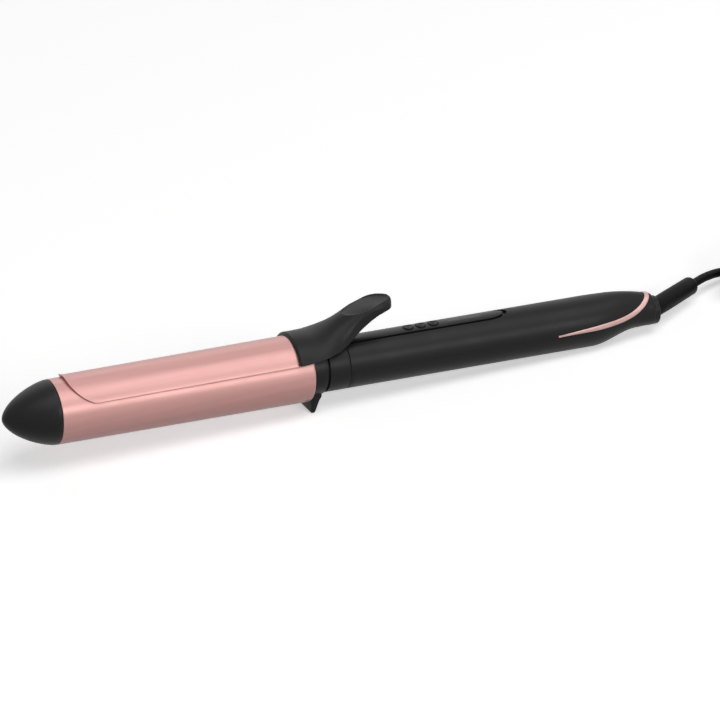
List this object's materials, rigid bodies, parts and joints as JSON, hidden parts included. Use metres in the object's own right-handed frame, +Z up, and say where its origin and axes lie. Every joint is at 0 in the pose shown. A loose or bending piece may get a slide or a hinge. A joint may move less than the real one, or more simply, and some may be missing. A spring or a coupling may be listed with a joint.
{
  "type": "curling iron",
  "caption": "Hair curling iron with a round heated barrel, a sprung clip on a thumb lever, a rest foot, a slim button handle and a swivelling mains lead.",
  "frame": {"origin": "centre of the underside, on the surface that the iron lies on, midway along the iron without its lead", "axes": "+Z up, +X along the iron from the cool tip towards the handle's end, the iron lying on its foot and its handle"},
  "size_m": [0.5404, 0.0761, 0.0572],
  "materials": {
    "coated_metal": "smooth rose ceramic coat, glossy",
    "rose_trim": "rose satin metal",
    "black_plastic": "fine satin moulding",
    "gloss_black": "polished black strip",
    "smoked_window": "smoked clear plastic",
    "button_plastic": "satin moulded caps",
    "soft_black": "soft matte jacket",
    "grey_plastic": "moulded",
    "white_plastic": "moulded",
    "bright_metal": "nickel plated",
    "steel": "plain",
    "bare_aluminium": "extruded",
    "white_ceramic": "unglazed",
    "amber_glass": "bead",
    "lead_sleeve": "silicone sleeve",
    "heatproof_plastic": "moulded, glass filled",
    "green_board": "laminate with green mask",
    "brass": "plain"
  },
  "bodies": {
    "tong": {"cool_tip": "black_plastic", "tip_carrier": "steel", "tip_screw": "steel", "barrel_tube": "coated_metal", "heat_spreaders": "bare_aluminium", "heater_plates": "white_ceramic", "heater_spring": "steel", "temperature_sensor": "amber_glass", "thermal_fuse": "white_ceramic", "heater_leads": "lead_sleeve", "barrel_plug": "heatproof_plastic", "barrel_screws": "steel", "clip_spring": "steel", "stand_ring": "black_plastic", "barrel_collar": "black_plastic", "upper_shell": "black_plastic", "lower_shell": "black_plastic", "tail_trim": "rose_trim", "shell_screws": "steel", "control_panel": "gloss_black", "light_window": "smoked_window", "status_lights": "white_plastic", "button_switches": "grey_plastic", "circuit_board": "green_board", "board_parts": "grey_plastic", "board_screws": "steel", "mains_leads": "lead_sleeve", "brush_contacts": "brass"},
    "clip": {"clip_plate": "coated_metal", "clip_lever": "black_plastic", "clip_screws": "steel", "pivot_pin": "steel"},
    "minus_button_body": {"minus_button": "button_plastic"},
    "plus_button_body": {"plus_button": "button_plastic"},
    "power_button_body": {"power_button": "button_plastic"},
    "lead": {"swivel_rotor": "grey_plastic", "slip_rings": "brass", "strain_relief": "soft_black", "power_cord": "soft_black", "cord_coil": "soft_black", "cord_tail": "soft_black", "cord_tie": "soft_black", "plug_body": "soft_black", "plug_pins": "bright_metal"}
  },
  "joints": [
    {"name": "clip_open", "type": "hinge", "parent": "tong", "child": "clip", "pos_m": [-0.00107, 0, 0.04207], "axis": [0, 1, 0], "range_deg": [0, 14], "stiffness_Nm_per_rad": 0.12, "springref_deg": -20.05, "deforming": ["clip_spring"]},
    {"name": "minus_button_press", "type": "slide", "parent": "tong", "child": "minus_button_body", "axis": [-0.0545, 0, -0.9985], "range_m": [0, 0.0006], "stiffness_N_per_m": 2000, "springref_m": -0.0003},
    {"name": "plus_button_press", "type": "slide", "parent": "tong", "child": "plus_button_body", "axis": [-0.0545, 0, -0.9985], "range_m": [0, 0.0006], "stiffness_N_per_m": 2000, "springref_m": -0.0003},
    {"name": "power_button_press", "type": "slide", "parent": "tong", "child": "power_button_body", "axis": [-0.0545, 0, -0.9985], "range_m": [0, 0.0006], "stiffness_N_per_m": 2000, "springref_m": -0.0003},
    {"name": "cord_swivel", "type": "hinge", "parent": "tong", "child": "lead", "pos_m": [0.19629, 0, 0.01222], "axis": [0.9985, 0, -0.0545], "continuous": true}
  ]
}
